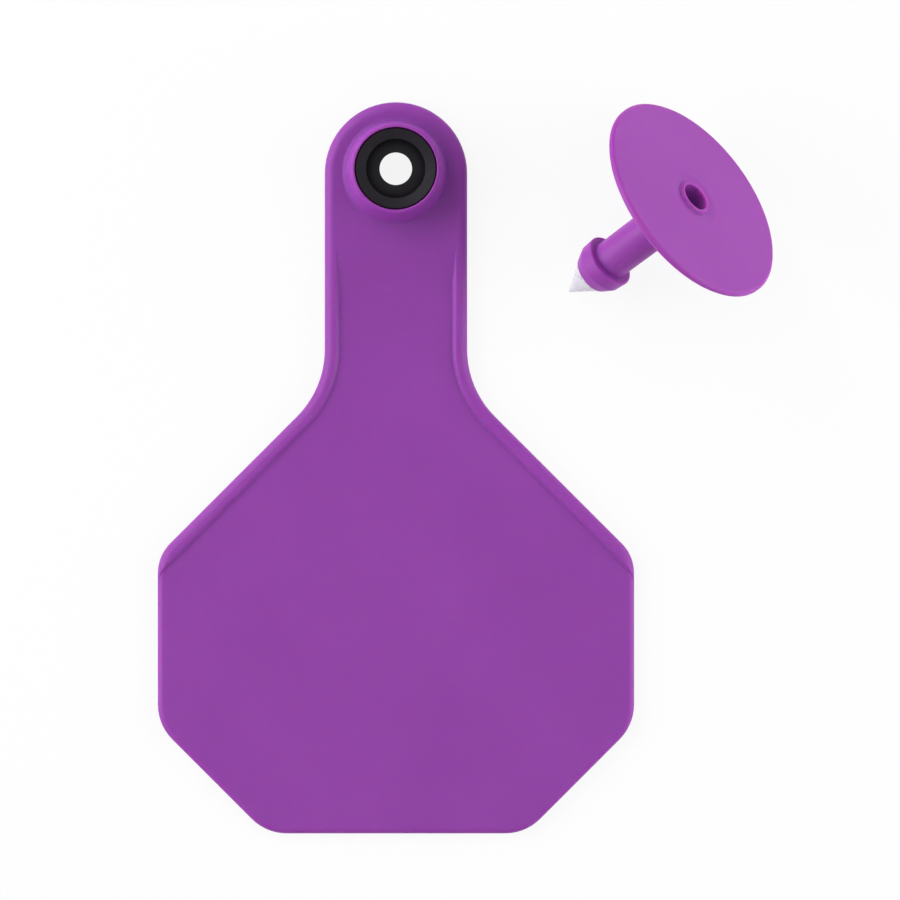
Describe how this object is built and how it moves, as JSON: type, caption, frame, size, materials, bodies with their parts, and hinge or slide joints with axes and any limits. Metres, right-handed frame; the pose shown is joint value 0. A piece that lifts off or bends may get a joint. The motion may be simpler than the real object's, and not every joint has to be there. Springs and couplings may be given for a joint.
{
  "type": "livestock ear tag",
  "caption": "Flat polyurethane tag panel with a collared socket in its neck, and its barbed button stud with a hard point lying beside it.",
  "frame": {"origin": "on the axis of the collar's stem bore, at the panel's back face", "axes": "+X across the panel, +Y along it towards the head, +Z out of the written face"},
  "size_m": [0.0776, 0.0924, 0.0239],
  "materials": {
    "tag_plastic": "satin moulded polyurethane, purple",
    "collar_plastic": "satin moulded nylon, black",
    "point_plastic": "smooth translucent white nylon"
  },
  "bodies": {
    "root": {"tag_panel": "tag_plastic", "collar_insert": "collar_plastic", "stud_button": "tag_plastic", "stud_point": "point_plastic"}
  },
  "joints": []
}
